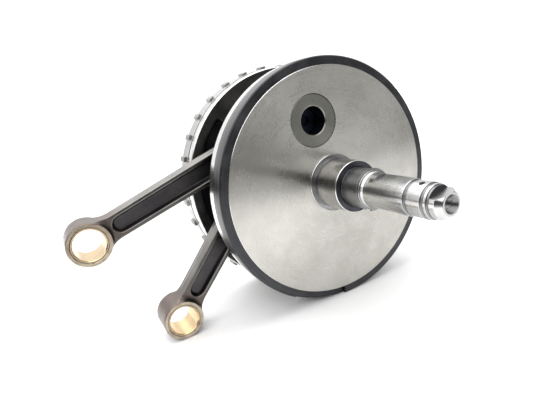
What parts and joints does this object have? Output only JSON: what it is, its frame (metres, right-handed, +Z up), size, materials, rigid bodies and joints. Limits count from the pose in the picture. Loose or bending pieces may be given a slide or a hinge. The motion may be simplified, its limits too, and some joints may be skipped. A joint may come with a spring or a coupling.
{
  "type": "motorcycle v-twin crankshaft",
  "caption": "Pressed-together V-twin crankshaft: flywheel discs, crankpin, stepped end shafts and a forked pair of connecting rods on one crankpin.",
  "frame": {"origin": "middle of the bounding box's base, on the surface that the flywheels and the fork rod's small end stand on", "axes": "+Y along the crank axis from the pinion shaft to the sprocket shaft, +Z up, the connecting rods lie towards -X"},
  "size_m": [0.3188, 0.327, 0.2094],
  "materials": {
    "machined_face_steel": "turned and fine-brushed bare steel, satin, darker edge on the rim",
    "forged_dark_steel": "dark forged steel, satin, lightly oiled",
    "polished_shaft_steel": "ground and polished steel journals",
    "bearing_steel": "ground bearing steel",
    "dark_steel": "blackened steel",
    "bronze": "honed bronze"
  },
  "bodies": {
    "crank": {"right_flywheel": "machined_face_steel", "left_flywheel": "forged_dark_steel", "pinion_shaft": "polished_shaft_steel", "sprocket_shaft": "polished_shaft_steel", "crankpin": "bearing_steel", "crankpin_plug_right": "dark_steel", "crankpin_plug_left": "dark_steel", "rod_side_washer_right": "bearing_steel", "rod_side_washer_left": "bearing_steel", "pinion_thrust_washer": "bearing_steel", "pinion_bearing_race": "polished_shaft_steel", "pinion_retaining_ring": "dark_steel", "sprocket_thrust_washer": "bearing_steel", "sprocket_bearing_race": "polished_shaft_steel", "sprocket_retaining_ring": "dark_steel"},
    "fork_rod": {"fork_rod": "forged_dark_steel", "fork_race_right": "bearing_steel", "fork_race_left": "bearing_steel", "fork_bushing": "bronze"},
    "knife_rod": {"knife_rod": "forged_dark_steel", "knife_race": "bearing_steel", "knife_bushing": "bronze"},
    "fork_cages": {"fork_cage_right": "bearing_steel", "fork_cage_left": "bearing_steel"},
    "knife_cage": {"knife_cage": "bearing_steel"}
  },
  "joints": [
    {"name": "fork_rod_swing", "type": "hinge", "parent": "crank", "child": "fork_rod", "pos_m": [0.04219, 0.007, 0.15796], "axis": [0, 1, 0], "continuous": true},
    {"name": "knife_rod_swing", "type": "hinge", "parent": "fork_rod", "child": "knife_rod", "pos_m": [0.04219, 0.007, 0.15796], "axis": [0, 1, 0], "range_deg": [0, 299]},
    {"name": "fork_cages_turn", "type": "hinge", "parent": "crank", "child": "fork_cages", "pos_m": [0.04219, 0.007, 0.15796], "axis": [0, 1, 0], "continuous": true},
    {"name": "knife_cage_turn", "type": "hinge", "parent": "fork_cages", "child": "knife_cage", "pos_m": [0.04219, 0.007, 0.15796], "axis": [0, 1, 0], "range_deg": [0, 167]}
  ],
  "couplings": [
    {"joint": "fork_cages_turn", "follows": "fork_rod_swing", "ratio": 0.5549},
    {"joint": "knife_cage_turn", "follows": "knife_rod_swing", "ratio": 0.5549}
  ]
}
